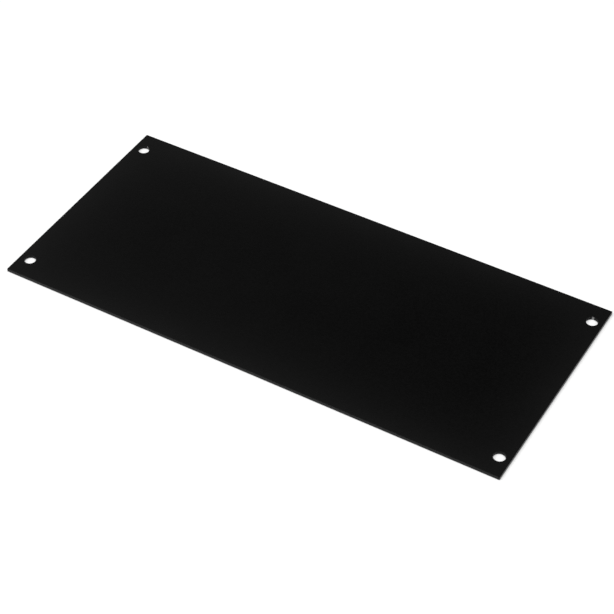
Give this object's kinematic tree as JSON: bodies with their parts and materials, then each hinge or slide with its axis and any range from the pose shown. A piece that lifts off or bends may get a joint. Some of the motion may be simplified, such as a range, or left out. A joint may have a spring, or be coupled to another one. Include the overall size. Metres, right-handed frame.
{
  "type": "rack blanking panel",
  "caption": "Flat rectangular sheet-metal panel, coated black all over, with a plain round screw hole near each corner. It closes off an unused bay of an equipment rack.",
  "frame": {"origin": "centre of the inner face, the face that bears on the rack rails", "axes": "+X across the rack, along the panel's width; +Y up the bay; +Z out of the outer face. The panel lies flat on its inner face, as a loose sheet comes to rest"},
  "size_m": [0.4826, 0.2214, 0.003],
  "materials": {
    "black_coat": "satin black powder coat over aluminium sheet, on both faces, the edges and the hole walls"
  },
  "bodies": {
    "root": {"blanking_panel": "black_coat"}
  },
  "joints": []
}
